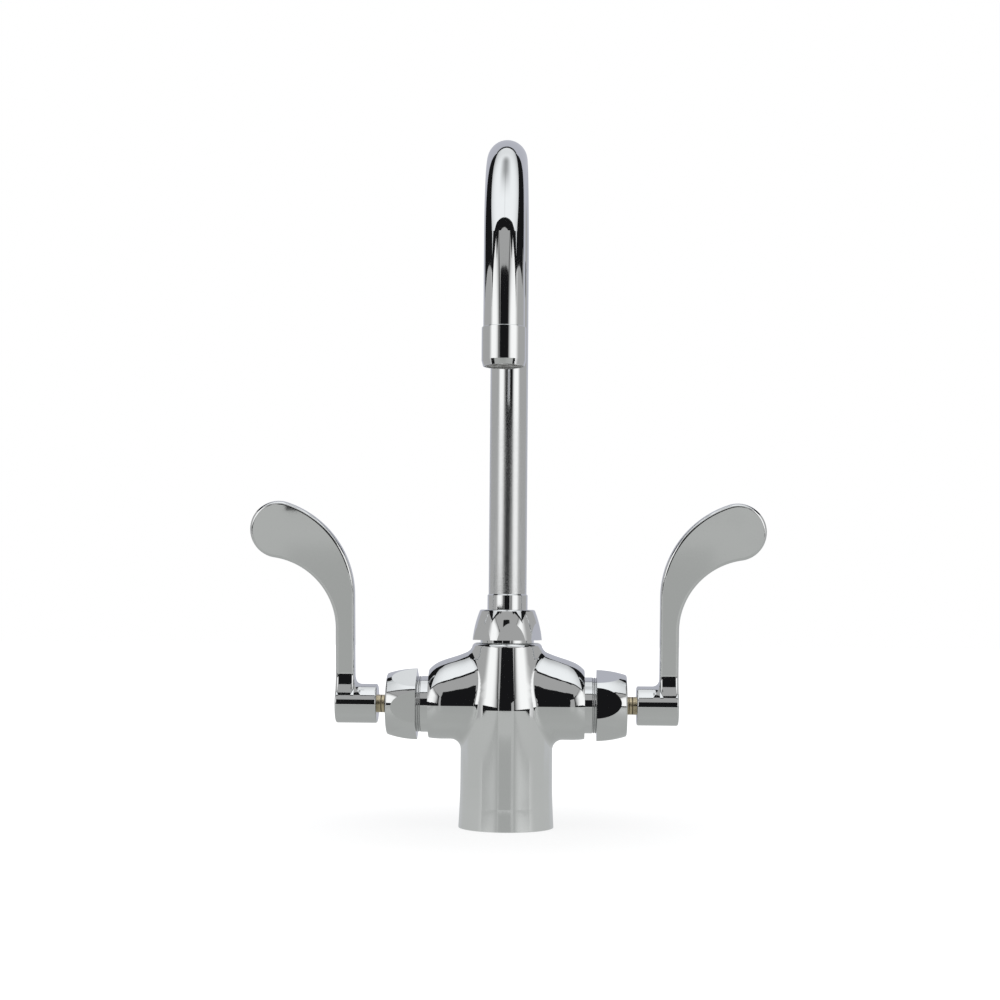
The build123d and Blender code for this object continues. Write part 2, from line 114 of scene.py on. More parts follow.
# Name, side, top of the wall's back part, where the patch turns to even cloth, and top of the black skirt
WALLS = (
    ("left", -1, 0.35, (-0.34, -0.16), 0.11),
    ("right", 1, 0.38, (-0.32, -0.12), 0.07),
)
SKIRT_X = 0.428
SKIRT_ENDS = (-1.2, -0.25)

# Cloth overhead, rising to the back, and the black flap beside it: corners on the right
CLOTH_CORNERS = ((0.40, -0.235, 0.352), (0.41, 0.56, 1.30))
FLAP_CORNERS = ((0.44, 0.33, 0.345), (0.44, -0.235, 0.345))

# Dim spot and seam of the cloth, and how its light falls off to the sides and to the back
SPOT_MIDDLE = -0.09
SPOT_HALF = 0.02
SPOT_BLUR = 0.09
SPOT_DEPTH = 0.62
SEAM_FADES = (-0.15, -0.11)
SEAM_HALF = 0.012
SEAM_DEPTH = 0.12
SIDE_FALL = (0.10, 0.40)
SIDE_DEPTH = 0.30
BACK_FALL = (-0.16, 0.12)
BACK_DEPTH = 0.18

# Black rims of the cloth. The front one has a shallow arch: its middle, and its corners on the right.
RIM_Y = -0.236
RIM_TOP = 0.353
ARCH_MIDDLE = (0.0, 0.326)
ARCH_CORNERS = ((0.035, 0.3245), (0.07, 0.319), (0.10, 0.312), (0.13, 0.304), (0.15, 0.320), (0.43, 0.320))
BACK_RIM = ((-0.42, 0.565), (0.42, 0.565), 1.17, 1.62)

# Small black card that the spout nut mirrors
NUT_CARD = ((-0.05, -0.2), (0.035, -0.2), 0.182, 0.222)

SENSOR_WIDTH = 36.0


class Wire:
    """A socket that can be used in arithmetic."""

    def __init__(self, nodes, socket):
        self.nodes = nodes
        self.socket = socket

    def __add__(self, other):
        return self.nodes.math("ADD", self, other)

    def __radd__(self, other):
        return self.nodes.math("ADD", other, self)

    def __sub__(self, other):
        return self.nodes.math("SUBTRACT", self, other)

    def __rsub__(self, other):
        return self.nodes.math("SUBTRACT", other, self)

    def __mul__(self, other):
        return self.nodes.math("MULTIPLY", self, other)

    def __rmul__(self, other):
        return self.nodes.math("MULTIPLY", other, self)

    def __truediv__(self, other):
        return self.nodes.math("DIVIDE", self, other)


class Nodes:
    """The nodes of one tree."""

    def __init__(self, tree):
        self.tree = tree

    def node(self, kind, settings=None, inputs=None, result=0):
        """Adds a node: its settings first, then a value or a link for each named socket."""
        node = self.tree.nodes.new(kind)
        for name, value in (settings or {}).items():
            setattr(node, name, value)
        for name, value in (inputs or {}).items():
            if isinstance(value, Wire):
                self.tree.links.new(value.socket, node.inputs[name])
            else:
                node.inputs[name].default_value = value
        return Wire(self, node.outputs[result])

    def math(self, operation, *values):
        return self.node("ShaderNodeMath", {"operation": operation}, dict(enumerate(values)))

    def split(self, vector):
        """The three parts of a vector."""
        first = self.node("ShaderNodeSeparateXYZ", None, {"Vector": vector})
        outputs = first.socket.node.outputs
        return [Wire(self, outputs[name]) for name in "XYZ"]


class Shader(Nodes):
    """The node tree of one material or of the world."""

    def __init__(self, owner, output):
        owner.use_nodes = True
        super().__init__(owner.node_tree)
        self.tree.nodes.clear()
        self.output = self.tree.nodes.new(output)

    def place(self):
        return self.node("ShaderNodeTexCoord", result="Object")

    def finish(self, surface):
        self.tree.links.new(surface.socket, self.output.inputs["Surface"])


def smooth_step(shader, value, start, end):
    """0 below start, 1 above end, with a soft change between."""
    settings = {"interpolation_type": "SMOOTHSTEP"}
    return shader.node("ShaderNodeMapRange", settings, {"Value": value, "From Min": start, "From Max": end})


def fading(shader, value, start, end):
    """1 below start, 0 above end, with a soft change between."""
    return 1.0 - smooth_step(shader, value, start, end)


def band(shader, value, middle, half, blur):
    """1 within half of middle, 0 beyond the blur around it."""
    away = shader.math("ABSOLUTE", value - middle)
    return fading(shader, away, half, half + blur)


def new_material(name):
    material = bpy.data.materials.new(name)
    return material, Shader(material, "ShaderNodeOutputMaterial")


def noise(shader, scale, detail, stretch=(1.0, 1.0, 1.0)):
    place = shader.node("ShaderNodeVectorMath", {"operation": "MULTIPLY"}, {0: shader.place(), 1: stretch})
    return shader.node("ShaderNodeTexNoise", None, {"Vector": place, "Scale": scale, "Detail": detail})


def tinted(shader, share, first, second):
    """A colour between the first, at a share of 0, and the second."""
    settings = {"data_type": "RGBA"}
    inputs = {"Factor": share, COLOUR_A: (*first, 1.0), COLOUR_B: (*second, 1.0)}
    return shader.node("ShaderNodeMix", settings, inputs, COLOUR_RESULT)


def bumped(shader, height, strength, distance):
    inputs = {"Height": height, "Strength": strength, "Distance": distance}
    return shader.node("ShaderNodeBump", None, inputs)


def shaded(tint, share):
    """The tint made darker."""
    return [part * share for part in tint]


def coated(shader, colour, roughness, normal, metallic=0.0):
    return shader.node("ShaderNodeBsdfPrincipled", None, {
        "Base Color": colour, "Metallic": metallic, "Roughness": roughness, "Normal": normal,
    })


def chrome_plate(look):
    """Bright nickel-chrome plate: nearly a mirror, with faint smears and the waves of hand polishing."""
    material, shader = new_material("chrome_plate")
    smears = smooth_step(shader, noise(shader, scale=38.0, detail=4.0), start=0.52, end=0.80)
    haze = noise(shader, scale=900.0, detail=3.0)
    colour = tinted(shader, smears, look.chrome, shaded(look.chrome, 0.975))
    rough = look.polish + haze * 0.018 + smears * 0.035
    waves = bumped(shader, noise(shader, scale=45.0, detail=1.0), strength=0.02, distance=0.0002)
    shader.finish(coated(shader, colour, rough, waves, metallic=1.0))
    return material


def drawn_chrome(look):
    """Plate on drawn tube: bright in the bend, with the fine rings of brushing low on the riser."""
    material, shader = new_material("drawn_chrome")
    _, y, z = shader.split(shader.place())
    low = fading(shader, z, *BRUSHING_FADES)
    riser = low * smooth_step(shader, y, *RISER_BEGINS)
    lines = noise(shader, scale=60.0, detail=3.0, stretch=(1.0, 1.0, 60.0))
    haze = noise(shader, scale=900.0, detail=3.0)
    rough = look.polish + haze * 0.018 + riser * (look.brushing + lines * 0.07)
    colour = tinted(shader, riser * lines, look.chrome, shaded(look.chrome, 0.96))
    relief = noise(shader, scale=45.0, detail=1.0) * 0.3 + lines * riser
    waves = bumped(shader, relief, strength=0.025, distance=0.0001)
    shader.finish(coated(shader, colour, rough, waves, metallic=1.0))
    return material


def cut_thread(look):
    """Plate on a cut thread, thinner and duller than on the faces."""
    material, shader = new_material("cut_thread")
    grain = noise(shader, scale=900.0, detail=3.0)
    colour = tinted(shader, grain, shaded(look.chrome, 0.66), shaded(look.chrome, 0.48))
    relief = bumped(shader, grain, strength=0.05, distance=0.00005)
    shader.finish(coated(shader, colour, 0.14 + grain * 0.12, relief, metallic=1.0))
    return material


def turned_brass(look):
    """Bare turned brass, a little dull, with two dark grooves around the stem between nut and hub."""
    material, shader = new_material("turned_brass")
    x, _, _ = shader.split(shader.place())
    along = shader.math("ABSOLUTE", x)
    first, second = (band(shader, along, middle, half, GROOVE_BLUR) for middle, half in STEM_GROOVES)
    grooves = first + second
    lathe = noise(shader, scale=80.0, detail=2.0, stretch=(40.0, 1.0, 1.0))
    tarnish = smooth_step(shader, noise(shader, scale=220.0, detail=4.0), start=0.42, end=0.75)
    pale = tinted(shader, tarnish, look.brass, shaded(look.brass, 0.72))
    colour = shader.node("ShaderNodeMix", {"data_type": "RGBA"}, {
        "Factor": grooves, COLOUR_A: pale, COLOUR_B: GROOVE_COLOUR,
    }, COLOUR_RESULT)
    relief = bumped(shader, lathe * 0.2 - grooves, strength=0.35, distance=0.0002)
    rough = 0.24 + tarnish * 0.14 + lathe * 0.08
    shader.finish(coated(shader, colour, rough, relief, metallic=1.0))
    return material


def fired_ceramic(look):
    """Lapped alumina: warm white, dense, with a faint mottle."""
    material, shader = new_material("fired_ceramic")
    mottle = noise(shader, scale=700.0, detail=3.0)
    colour = tinted(shader, mottle, look.ceramic, shaded(look.ceramic, 0.93))
    relief = bumped(shader, mottle, strength=0.05, distance=0.00005)
    shader.finish(coated(shader, colour, 0.22 + mottle * 0.10, relief))
    return material


def moulded_rubber(look):
    """Black rubber with a matt bloom and the fine pitting of its mould."""
    material, shader = new_material("moulded_rubber")
    pitting = noise(shader, scale=1600.0, detail=3.0)
    bloom = smooth_step(shader, noise(shader, scale=160.0, detail=3.0), start=0.45, end=0.75)
    colour = tinted(shader, bloom, look.rubber, [part + 0.025 for part in look.rubber])
    relief = bumped(shader, pitting, strength=0.15, distance=0.0001)
    shader.finish(coated(shader, colour, 0.55 + bloom * 0.2, relief))
    return material


def stainless(look):
    """Drawn stainless steel, brighter and duller by turns."""
    material, shader = new_material("stainless")
    grain = noise(shader, scale=900.0, detail=3.0, stretch=(1.0, 1.0, 0.2))
    colour = tinted(shader, grain, look.steel, shaded(look.steel, 0.85))
    relief = bumped(shader, grain, strength=0.06, distance=0.00005)
    shader.finish(coated(shader, colour, 0.20 + grain * 0.16, relief, metallic=1.0))
    return material


def moulded_plastic(name, tint, roughness):
    """Injection-moulded plastic with flow marks and a fine mould texture."""
    material, shader = new_material(name)
    flow = noise(shader, scale=120.0, detail=2.0)
    texture = noise(shader, scale=2400.0, detail=2.0)
    colour = tinted(shader, flow, tint, shaded(tint, 0.90))
    relief = bumped(shader, texture, strength=0.08, distance=0.00005)
    shader.finish(coated(shader, colour, roughness + texture * 0.08, relief))
    return material


class FAUCET_PG_finish(bpy.types.PropertyGroup):
    """Colours of the plated, turned and moulded parts."""

    chrome: bpy.props.FloatVectorProperty(
        name="Chrome", description="Colour of the bright plate", subtype="COLOR", default=(0.80, 0.81, 0.81),
    )
    polish: bpy.props.FloatProperty(
        name="Polish", description="Roughness of the bright plate", subtype="FACTOR", default=0.025,
    )
    brushing: bpy.props.FloatProperty(
        name="Brushing", description="Added roughness low on the riser", subtype="FACTOR", default=0.16,
    )
    brass: bpy.props.FloatVectorProperty(
        name="Brass", description="Colour of stems, cartridges and ports", subtype="COLOR",
        default=(0.66, 0.57, 0.39),
    )
    ceramic: bpy.props.FloatVectorProperty(
        name="Ceramic", description="Colour of the valve discs", subtype="COLOR", default=(0.88, 0.87, 0.83),
    )
    rubber: bpy.props.FloatVectorProperty(
        name="Rubber", description="Colour of the seals", subtype="COLOR", default=(0.025, 0.025, 0.026),
    )
    steel: bpy.props.FloatVectorProperty(
        name="Steel", description="Colour of screws, clips and screen", subtype="COLOR",
        default=(0.60, 0.60, 0.61),
    )
    white: bpy.props.FloatVectorProperty(
        name="White plastic", description="Colour of washer and insert", subtype="COLOR",
        default=(0.80, 0.80, 0.77),
    )
    hot: bpy.props.FloatVectorProperty(
        name="Hot", description="Colour of the hot ring", subtype="COLOR", default=(0.60, 0.03, 0.03),
    )
    cold: bpy.props.FloatVectorProperty(
        name="Cold", description="Colour of the cold ring", subtype="COLOR", default=(0.03, 0.08, 0.50),
    )


class FAUCET_OT_finishes(bpy.types.Operator):
    """Give every solid its finish."""

    bl_idname = "faucet.finishes"
    bl_label = "Finishes"

    def execute(self, context):
        look = context.scene.faucet_finish
        finishes = {
            "polished_chrome": chrome_plate(look),
            "bare_brass": turned_brass(look),
            "valve_ceramic": fired_ceramic(look),
            "black_rubber": moulded_rubber(look),
            "plain_steel": stainless(look),
            "white_plastic": moulded_plastic("white_moulding", look.white, 0.38),
            "red_plastic": moulded_plastic("red_moulding", look.hot, 0.22),
            "blue_plastic": moulded_plastic("blue_moulding", look.cold, 0.22),
        }
        tube = drawn_chrome(look)
        for name, node in frame["nodes"].items():
            for slot in node.material_slots:
                slot.material = tube if name == "gooseneck_tube" else finishes[slot.material.name]
        return {"FINISHED"}


class Recipe(Nodes):
    """A Geometry Nodes tree whose sizes are named inputs."""

    def __init__(self, name):
        super().__init__(bpy.data.node_groups.new(name, "GeometryNodeTree"))
        self.tree.interface.new_socket(name="Geometry", in_out="OUTPUT", socket_type="NodeSocketGeometry")
        self.entry = self.tree.nodes.new("NodeGroupInput")
        self.exit = self.tree.nodes.new("NodeGroupOutput")

    def size(self, name):
        self.tree.interface.new_socket(name=name, in_out="INPUT", socket_type="NodeSocketFloat")
        return Wire(self, self.entry.outputs[name])

    def vector(self, **parts):
        return self.node("ShaderNodeCombineXYZ", None, parts)

    def finish(self, geometry, material):
        """Ends the tree with plain geometry that carries its material."""
        real = self.node("GeometryNodeRealizeInstances", None, {"Geometry": geometry})
        dressed = self.node("GeometryNodeSetMaterial", None, {"Geometry": real, "Material": material})
        self.tree.links.new(dressed.socket, self.exit.inputs["Geometry"])


def grown(name, recipe, sizes, body):
    """The recipe's result at the given sizes, as a plain piece on a body."""
    seed = bpy.data.objects.new(name + "_seed", bpy.data.meshes.new(name + "_seed"))
    bpy.context.scene.collection.objects.link(seed)
    modifier = seed.modifiers.new("recipe", "NODES")
    modifier.node_group = recipe.tree
    for item in recipe.tree.interface.items_tree:
        if item.in_out == "INPUT":
            modifier[item.identifier] = sizes[item.name]
    depsgraph = bpy.context.evaluated_depsgraph_get()
    mesh = bpy.data.meshes.new_from_object(seed.evaluated_get(depsgraph))
    mesh.name = name
    bpy.data.objects.remove(seed)
    if not mesh.polygons:
        raise RuntimeError(name + " came out empty")
    faces = bmesh.new()
    faces.from_mesh(mesh)
    bmesh.ops.recalc_face_normals(faces, faces=faces.faces)
    faces.to_mesh(mesh)
    faces.free()
    piece = bpy.data.objects.new(name, mesh)
    bpy.context.scene.collection.objects.link(piece)
    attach(piece, body)
    return piece


def thread_recipe(material):
    """A rounded screw thread that winds up from the start along Z."""
    recipe = Recipe("thread")
    radius, length, pitch, crest = (recipe.size(name) for name in ("Radius", "Length", "Pitch", "Crest"))
    helix = recipe.node("GeometryNodeCurveSpiral", None, {
        "Resolution": THREAD_STEPS, "Rotations": length / pitch, "Height": length,
        "Start Radius": radius, "End Radius": radius,
    })
    profile = recipe.node("GeometryNodeCurvePrimitiveCircle", None, {
        "Resolution": CREST_SIDES, "Radius": crest,
    })
    thread = recipe.node("GeometryNodeCurveToMesh", None, {
        "Curve": helix, "Profile Curve": profile, "Fill Caps": True,
    })
    smooth = recipe.node("GeometryNodeSetShadeSmooth", None, {"Geometry": thread})
    recipe.finish(smooth, material)
    return recipe


class FAUCET_PG_threads(bpy.types.PropertyGroup):
    """Screw threads that the solids leave plain."""

    arm_radius: bpy.props.FloatProperty(
        name="Arm thread", description="Radius of the arm posts", unit="LENGTH", default=13.6 * MM,
    )
    arm_pitch: bpy.props.FloatProperty(
        name="Arm pitch", description="From crest to crest on the arm posts", unit="LENGTH", default=1.0 * MM,
    )
    shank_radius: bpy.props.FloatProperty(
        name="Shank thread", description="Radius of the socket below", unit="LENGTH", default=13.6 * MM,
    )
    shank_pitch: bpy.props.FloatProperty(
        name="Shank pitch", description="From crest to crest in the socket", unit="LENGTH", default=1.5 * MM,
    )
    inlet_radius: bpy.props.FloatProperty(
        name="Inlet thread", description="Radius of the supply ports", unit="LENGTH", default=4.6 * MM,
    )
    inlet_pitch: bpy.props.FloatProperty(
        name="Inlet pitch", description="From crest to crest in the ports", unit="LENGTH", default=1.0 * MM,
    )
    crest: bpy.props.FloatProperty(
        name="Crest", description="Radius of a thread's rounded crest", unit="LENGTH", default=0.36 * MM,
    )


class FAUCET_OT_arm_threads(bpy.types.Operator):
    """Threads of the arm posts, seen between the collar and the bonnet nut."""

    bl_idname = "faucet.arm_threads"
    bl_label = "Arm threads"

    def execute(self, context):
        sizes = context.scene.faucet_threads
        recipe = thread_recipe(cut_thread(context.scene.faucet_finish))
        nut_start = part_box("cold_bonnet_nut")[0][0]
        length = ARM_THREAD_TURNS * sizes.arm_pitch
        start = nut_start - length + sizes.arm_pitch / 2
        height = sum(corner[2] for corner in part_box("cold_stem")) / 2
        values = {
            "Radius": sizes.arm_radius, "Length": length, "Pitch": sizes.arm_pitch, "Crest": sizes.crest,
        }
        for side, sign in (("hot", -1), ("cold", 1)):
            piece = grown(side + "_arm_thread", recipe, values, "body")
            along = Matrix.Rotation(sign * QUARTER_TURN, 4, "Y")
            piece.data.transform(Matrix.Translation((sign * start, 0, height)) @ along)
        return {"FINISHED"}


class FAUCET_OT_port_threads(bpy.types.Operator):
    """Threads inside the shank socket and the two supply ports."""

    bl_idname = "faucet.port_threads"
    bl_label = "Port threads"

    def execute(self, context):
        sizes = context.scene.faucet_threads
        recipe = thread_recipe(bpy.data.materials["turned_brass"])
        mounts = {mount["name"]: mount for mount in frame["record"]["mounts"]}
        ports = (
            ("shank_socket", sizes.shank_radius, sizes.shank_pitch),
            ("hot_inlet", sizes.inlet_radius, sizes.inlet_pitch),
            ("cold_inlet", sizes.inlet_radius, sizes.inlet_pitch),
        )
        for name, radius, pitch in ports:
            mount = mounts[name]
            length = mount["dims"]["length_mm"] * MM - 2 * pitch
            values = {"Radius": radius, "Length": length, "Pitch": pitch, "Crest": sizes.crest}
            piece = grown(name + "_thread", recipe, values, "body")
            x, y, z = mount["pos_m"]
            piece.data.transform(Matrix.Translation((x, y, z + pitch)))
        return {"FINISHED"}


def screen_recipe(material):
    """A round screen of straight wires that cross in two layers."""
    recipe = Recipe("screen")
    radius, spacing, wire = (recipe.size(name) for name in ("Radius", "Spacing", "Wire"))
    count = recipe.math("FLOOR", radius * LAYER_WIDTH / spacing)
    row = recipe.node("GeometryNodeMeshLine", {"mode": "OFFSET", "count_mode": "TOTAL"}, {
        "Count": count, "Offset": recipe.vector(X=spacing),
        "Start Location": recipe.vector(X=(count - 1.0) * spacing * -0.5),
    })
    rod = recipe.node("GeometryNodeMeshCylinder", None, {
        "Vertices": WIRE_SIDES, "Radius": wire, "Depth": 1.0,
    })
    x, _, _ = recipe.split(recipe.node("GeometryNodeInputPosition"))
    chord = recipe.math("SQRT", radius * radius - x * x) * 2.0
    layer = recipe.node("GeometryNodeInstanceOnPoints", None, {
        "Points": row, "Instance": rod, "Rotation": (QUARTER_TURN, 0.0, 0.0),
        "Scale": recipe.vector(X=1.0, Y=1.0, Z=chord),
    })
    crossing = recipe.node("GeometryNodeTransform", None, {
        "Geometry": layer, "Translation": recipe.vector(Z=wire * LAYER_LIFT),
        "Rotation": (0.0, 0.0, QUARTER_TURN),
    })
    both = recipe.node("GeometryNodeJoinGeometry", None, {"Geometry": layer})
    recipe.tree.links.new(crossing.socket, both.socket.node.inputs["Geometry"])
    recipe.finish(both, material)
    return recipe


class FAUCET_PG_screen(bpy.types.PropertyGroup):
    """Wire screen of the aerator."""

    spacing: bpy.props.FloatProperty(
        name="Spacing", description="From wire to wire", unit="LENGTH", default=0.62 * MM,
    )
    wire: bpy.props.FloatProperty(
        name="Wire", description="Radius of the wire", unit="LENGTH", default=0.12 * MM,
    )


class FAUCET_OT_screen(bpy.types.Operator):
    """Wire screen of the aerator in place of its plain disc."""

    bl_idname = "faucet.screen"
    bl_label = "Aerator screen"

    def execute(self, context):
        sizes = context.scene.faucet_screen
        low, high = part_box("aerator_screen")
        values = {"Radius": (high[0] - low[0]) / 2, "Spacing": sizes.spacing, "Wire": sizes.wire}
        recipe = screen_recipe(bpy.data.materials["stainless"])
        piece = grown("woven_screen", recipe, values, "spout")
        x, y, z = ((first + last) / 2 for first, last in zip(low, high))
        piece.data.transform(Matrix.Translation((x, y, z - sizes.wire)))
        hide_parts("aerator_screen")
        return {"FINISHED"}


class FAUCET_PG_stage(bpy.types.PropertyGroup):
    """Camera, table and lights."""

    distance: bpy.props.FloatProperty(
        name="Camera distance", description="From the camera to the riser", unit="LENGTH", default=0.9,
    )
    eye_height: bpy.props.FloatProperty(
        name="Eye height", description="Camera above the table", unit="LENGTH", default=0.1105,
    )
    azimuth: bpy.props.FloatProperty(
        name="Azimuth", description="How far the camera stands to the right", subtype="ANGLE",
        default=math.radians(1.64),
    )
    lens: bpy.props.FloatProperty(name="Lens", description="Focal length in millimetres", default=64.15)
    pitch: bpy.props.FloatProperty(
        name="Pitch", description="How far the camera looks up", subtype="ANGLE", default=math.radians(3.4),
    )
    roll: bpy.props.FloatProperty(
        name="Roll", description="How far the camera is turned about its view", subtype="ANGLE",
        default=math.radians(0.45),
    )
    yaw: bpy.props.FloatProperty(
        name="Yaw", description="How far the camera looks to the side of the riser", subtype="ANGLE",
        default=math.radians(-0.267),
    )
    room_light: bpy.props.FloatProperty(
        name="Room light", description="Brightness of the room that metal reflects", default=0.42,
    )
    wall_light: bpy.props.FloatProperty(
        name="Wall light", description="Brightness of the tent's side walls", default=0.43,
    )
    patch_light: bpy.props.FloatProperty(
        name="Patch light", description="Brightness of the lamp's patch on a side wall", default=1.15,
    )
    top_light: bpy.props.FloatProperty(
        name="Top light", description="Brightness of the cloth overhead", default=1.08,
    )
    table_colour: bpy.props.FloatVectorProperty(
        name="Table", description="Colour of the table", subtype="COLOR", default=(0.42, 0.43, 0.42),
    )


def glow(shader, strength, colour=WHITE):
    """Light from a sheet itself."""
    return shader.node("ShaderNodeEmission", None, {"Color": colour, "Strength": strength})


def glowing(name, colour, strength=1.0):
    """Cloth that gives off an even light."""
    material, shader = new_material(name)
    shader.finish(glow(shader, strength, colour))
    return material


def lit_wall(name, look, evens):
    """Side wall of the tent: black at the front, a lamp's soft patch, then even cloth."""
    material, shader = new_material(name)
    _, y, z = shader.split(shader.place())
    lamp = smooth_step(shader, y, *LAMP_RISES)
    even = smooth_step(shader, y, *evens)
    height = 1.0 - smooth_step(shader, z, *LAMP_FADES_UP) * (1.0 - even)
    strength = lamp * height * (look.patch_light + even * (look.wall_light - look.patch_light))
    shader.finish(glow(shader, strength))
    return material


def overhead_cloth(look):
    """Diffuser over the faucet, brightest along its middle, with a dim spot and seam there."""
    material, shader = new_material("overhead_cloth")
    x, y, _ = shader.split(shader.place())
    aside = shader.math("ABSOLUTE", x)
    spot = band(shader, y, SPOT_MIDDLE, SPOT_HALF, SPOT_BLUR) * fading(shader, aside, 0.0, SPOT_BLUR)
    seam = fading(shader, y, *SEAM_FADES) * fading(shader, aside, 0.0, SEAM_HALF)
    to_side = smooth_step(shader, aside, *SIDE_FALL)
    to_back = smooth_step(shader, y, *BACK_FALL)
    fall = to_side * SIDE_DEPTH + to_back * BACK_DEPTH
    strength = look.top_light * (1.0 - spot * SPOT_DEPTH - seam * SEAM_DEPTH - fall)
    shader.finish(glow(shader, strength, (0.96, 0.98, 1.0, 1.0)))
    return material


def white_rays(shader):
    """1 for the rays that show the white background: straight, mirrored or through glass."""
    seen = shader.node("ShaderNodeLightPath", result="Is Camera Ray")
    mirrored = shader.node("ShaderNodeLightPath", result="Is Glossy Ray")
    through = shader.node("ShaderNodeLightPath", result="Is Transmission Ray")
    return shader.math("MAXIMUM", seen, shader.math("MAXIMUM", mirrored, through))


def white_world():
    """White behind everything, and a dimmer light on it."""
    world = bpy.data.worlds.new("studio")
    bpy.context.scene.world = world
    shader = Shader(world, "ShaderNodeOutputWorld")
    strength = WORLD_GLOW + white_rays(shader) * (1.0 - WORLD_GLOW)
    shader.finish(shader.node("ShaderNodeBackground", None, {"Color": WHITE, "Strength": strength}))


def stage_sheet(name, corners, material):
    """A flat sheet that belongs to the stage."""
    mesh = bpy.data.meshes.new(name)
    mesh.from_pydata(corners, [], [tuple(range(len(corners)))])
    mesh.materials.append(material)
    sheet = bpy.data.objects.new(name, mesh)
    bpy.context.scene.collection.objects.link(sheet)
    return sheet


def panel(name, corners, material):
    """A sheet of the light tent. Metal reflects it and the camera looks through it."""
    stage_sheet(name, corners, material).visible_camera = False


def upright(name, start, end, bottom, top, material):
    """A panel that stands over the line from start to end."""
    (x0, y0), (x1, y1) = start, end
    panel(name, [(x0, y0, bottom), (x1, y1, bottom), (x1, y1, top), (x0, y0, top)], material)


def level(x_half, front, back, height):
    """Corners of a level rectangle."""
    return [(x, y, height) for x, y in ((-x_half, front), (x_half, front), (x_half, back), (-x_half, back))]


def on_side(side, *corners):
    """Corners of the right side, or their mirror images on the left."""
    return [(side * x, y, z) for x, y, z in corners]


def white_floor():
    """Floor as white as the background, which keeps the shadow around the foot."""
    material, shader = new_material("white_floor")
    x, y, _ = shader.split(shader.place())
    near = fading(shader, shader.math("SQRT", x * x + y * y), *SHADOW_FADES)
    shade = shader.node("ShaderNodeBsdfDiffuse", None, {"Color": (0.8, 0.8, 0.8, 1.0)})
    white = glow(shader, FLOOR_GLOW)
    pale = shader.node("ShaderNodeMixShader", None, {0: near * SHADOW_SHARE, 1: white, 2: shade})
    paint = shader.node("ShaderNodeBsdfDiffuse", None, {"Color": (0.6, 0.6, 0.6, 1.0)})
    shader.finish(shader.node("ShaderNodeMixShader", None, {0: white_rays(shader), 1: paint, 2: pale}))
    stage_sheet("white_floor", level(FLOOR_HALF, -FLOOR_HALF, FLOOR_HALF, 0.0), material)


def grey_mat(look):
    """The grey table cloth that the metal mirrors. Neither the camera nor the floor sees it."""
    material, shader = new_material("grey_mat")
    shader.finish(shader.node("ShaderNodeBsdfPrincipled", None, {
        "Base Color": (0.05, 0.05, 0.05, 1.0), "Roughness": 0.35,
        "Emission Color": (*look.table_colour, 1.0), "Emission Strength": 0.93,
    }))
    mat = stage_sheet("grey_mat", level(MAT_HALF, -MAT_HALF, MAT_HALF, MAT_HEIGHT), material)
    mat.visible_camera = False
    mat.visible_diffuse = False
    mat.visible_shadow = False


def room(look, black):
    """The dim room in front of the tent and around it, with the black opening."""
    grey = glowing("grey_room", WHITE, look.room_light)
    panel("front_gap", [(x, GAP_Y, z) for x, z in GAP_CORNERS], black)
    upright("room_front", (-ROOM_HALF, -ROOM_HALF), (ROOM_HALF, -ROOM_HALF), 0.0, ROOM_TOP, grey)
    panel("room_ceiling", level(ROOM_HALF, -ROOM_HALF, ROOM_BACK, ROOM_TOP), grey)
    for name, x in (("room_left", -ROOM_HALF), ("room_right", ROOM_HALF)):
        upright(name, (x, -ROOM_HALF), (x, ROOM_BACK), 0.0, ROOM_TOP, grey)


def walls(look, black):
    """The tent's side walls with their black skirts, and the cloth at the back."""
    front, back = WALL_ENDS
    upper, lower = WALL_STEP
    for name, side, back_top, evens, _ in WALLS:
        outline = (
            (front, WALL_FOOT), (back, WALL_FOOT), (back, back_top), (lower, back_top),
            (upper, WALL_FRONT_TOP), (front, WALL_FRONT_TOP),
        )
        corners = on_side(side, *((WALL_X, y, z) for y, z in outline))
        panel("wall_" + name, corners, lit_wall(name + "_wall", look, evens))
    for name, side, _, _, skirt_top in WALLS:
        start, end = ((side * SKIRT_X, y) for y in SKIRT_ENDS)
        upright("skirt_" + name, start, end, WALL_FOOT, skirt_top, black)
    pale = glowing("back_cloth", (0.51, 0.52, 0.58, 1.0))
    upright("wall_back", (-ROOM_HALF, ROOM_BACK), (ROOM_HALF, ROOM_BACK), 0.0, ROOM_TOP, pale)


def overhead(look, black):
    """The cloth over the faucet, with its black flaps, rims and card."""
    front, back = CLOTH_CORNERS
    corners = on_side(-1, front) + on_side(1, front, back) + on_side(-1, back)
    panel("top_cloth", corners, overhead_cloth(look))
    for name, side in (("left", -1), ("right", 1)):
        panel("flap_" + name, on_side(side, *CLOTH_CORNERS, *FLAP_CORNERS), black)
    mirrored = [(-x, z) for x, z in reversed(ARCH_CORNERS)]
    outline = [*mirrored, ARCH_MIDDLE, *ARCH_CORNERS, (WALL_X, RIM_TOP), (-WALL_X, RIM_TOP)]
    panel("rim_front", [(x, RIM_Y, z) for x, z in outline], black)
    upright("nut_card", *NUT_CARD, black)
    upright("rim_back", *BACK_RIM, black)


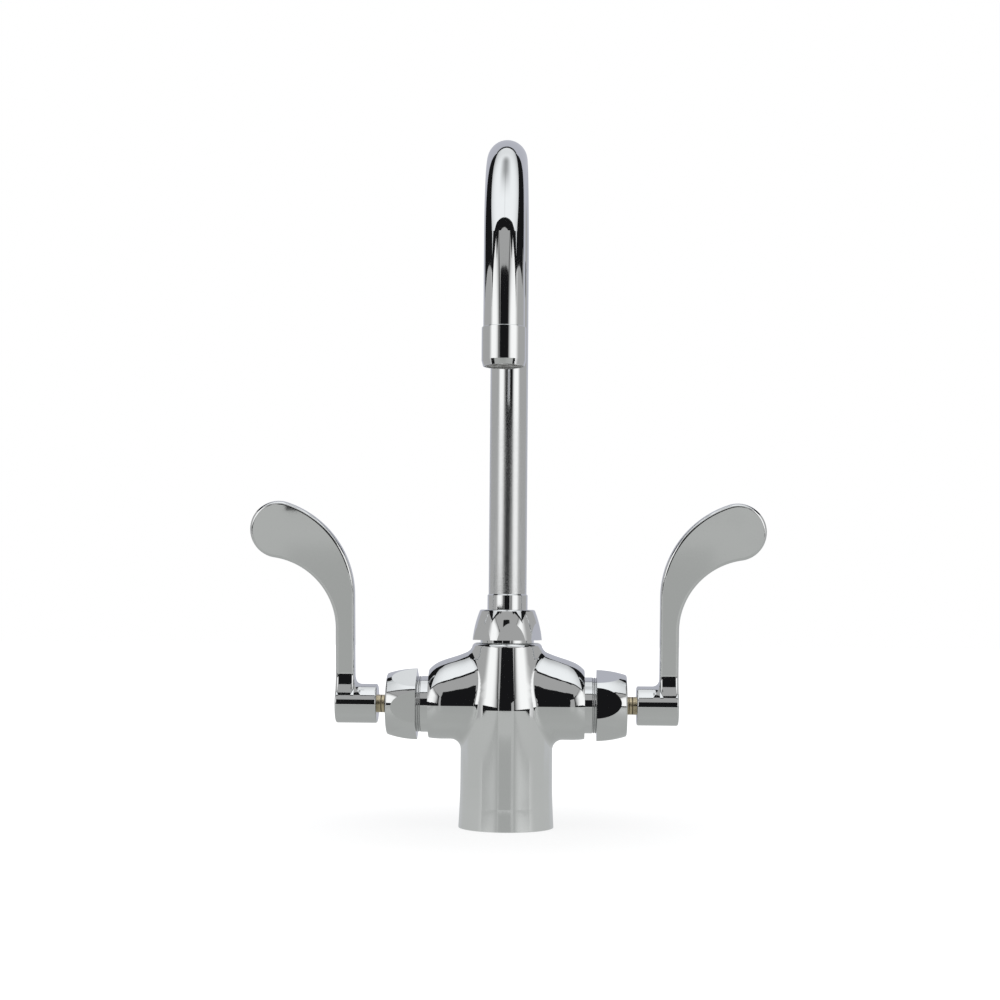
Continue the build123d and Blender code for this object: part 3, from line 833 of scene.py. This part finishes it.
def camera(view):
    """The photograph's view: from the front, a little from the right."""
    lens = bpy.data.cameras.new("camera")
    lens.sensor_width = SENSOR_WIDTH
    lens.lens = view.lens
    eye = bpy.data.objects.new("camera", lens)
    east = view.distance * math.sin(view.azimuth)
    south = -view.distance * math.cos(view.azimuth)
    turn = Matrix.Rotation(view.azimuth - view.yaw, 4, "Z")
    look = turn @ Matrix.Rotation(QUARTER_TURN + view.pitch, 4, "X") @ Matrix.Rotation(view.roll, 4, "Z")
    eye.matrix_world = Matrix.Translation((east, south, view.eye_height)) @ look
    bpy.context.scene.collection.objects.link(eye)
    return eye


class FAUCET_OT_stage(bpy.types.Operator):
    """Set up the table, the light tent and the camera."""

    bl_idname = "faucet.stage"
    bl_label = "Stage"

    def execute(self, context):
        view = context.scene.faucet_stage
        white_world()
        white_floor()
        grey_mat(view)
        black = glowing("black_cloth", (0.01, 0.01, 0.011, 1.0))
        room(view, black)
        walls(view, black)
        overhead(view, black)
        context.scene.camera = camera(view)
        context.scene.view_settings.view_transform = "Standard"
        return {"FINISHED"}


class FAUCET_PT_sidebar(bpy.types.Panel):
    """Every step of the faucet, in order, with its sizes and colours."""

    bl_idname = "FAUCET_PT_sidebar"
    bl_label = "Laboratory Faucet"
    bl_space_type = "VIEW_3D"
    bl_region_type = "UI"
    bl_category = "Faucet"

    def draw(self, context):
        layout = self.layout
        for settings, operators in STEPS:
            box = layout.box()
            group = getattr(context.scene, settings)
            for name in group.bl_rna.properties.keys():
                if name not in ("rna_type", "name"):
                    box.prop(group, name)
            for operator in operators:
                box.operator(operator)


GROUPS = {
    "faucet_finish": FAUCET_PG_finish,
    "faucet_threads": FAUCET_PG_threads,
    "faucet_screen": FAUCET_PG_screen,
    "faucet_stage": FAUCET_PG_stage,
}
STEPS = (
    ("faucet_finish", ("faucet.finishes",)),
    ("faucet_threads", ("faucet.arm_threads", "faucet.port_threads")),
    ("faucet_screen", ("faucet.screen",)),
    ("faucet_stage", ("faucet.stage",)),
)
CLASSES = (
    *GROUPS.values(), FAUCET_OT_finishes, FAUCET_OT_arm_threads, FAUCET_OT_port_threads, FAUCET_OT_screen,
    FAUCET_OT_stage, FAUCET_PT_sidebar,
)


def register():
    for item in CLASSES:
        bpy.utils.register_class(item)
    for name, group in GROUPS.items():
        setattr(bpy.types.Scene, name, bpy.props.PointerProperty(type=group))


def unregister():
    for name in GROUPS:
        delattr(bpy.types.Scene, name)
    for item in reversed(CLASSES):
        bpy.utils.unregister_class(item)


def main():
    register()
    bpy.ops.faucet.finishes()
    bpy.ops.faucet.arm_threads()
    bpy.ops.faucet.port_threads()
    bpy.ops.faucet.screen()
    bpy.ops.faucet.stage()


if __name__ == "__main__":
    main()
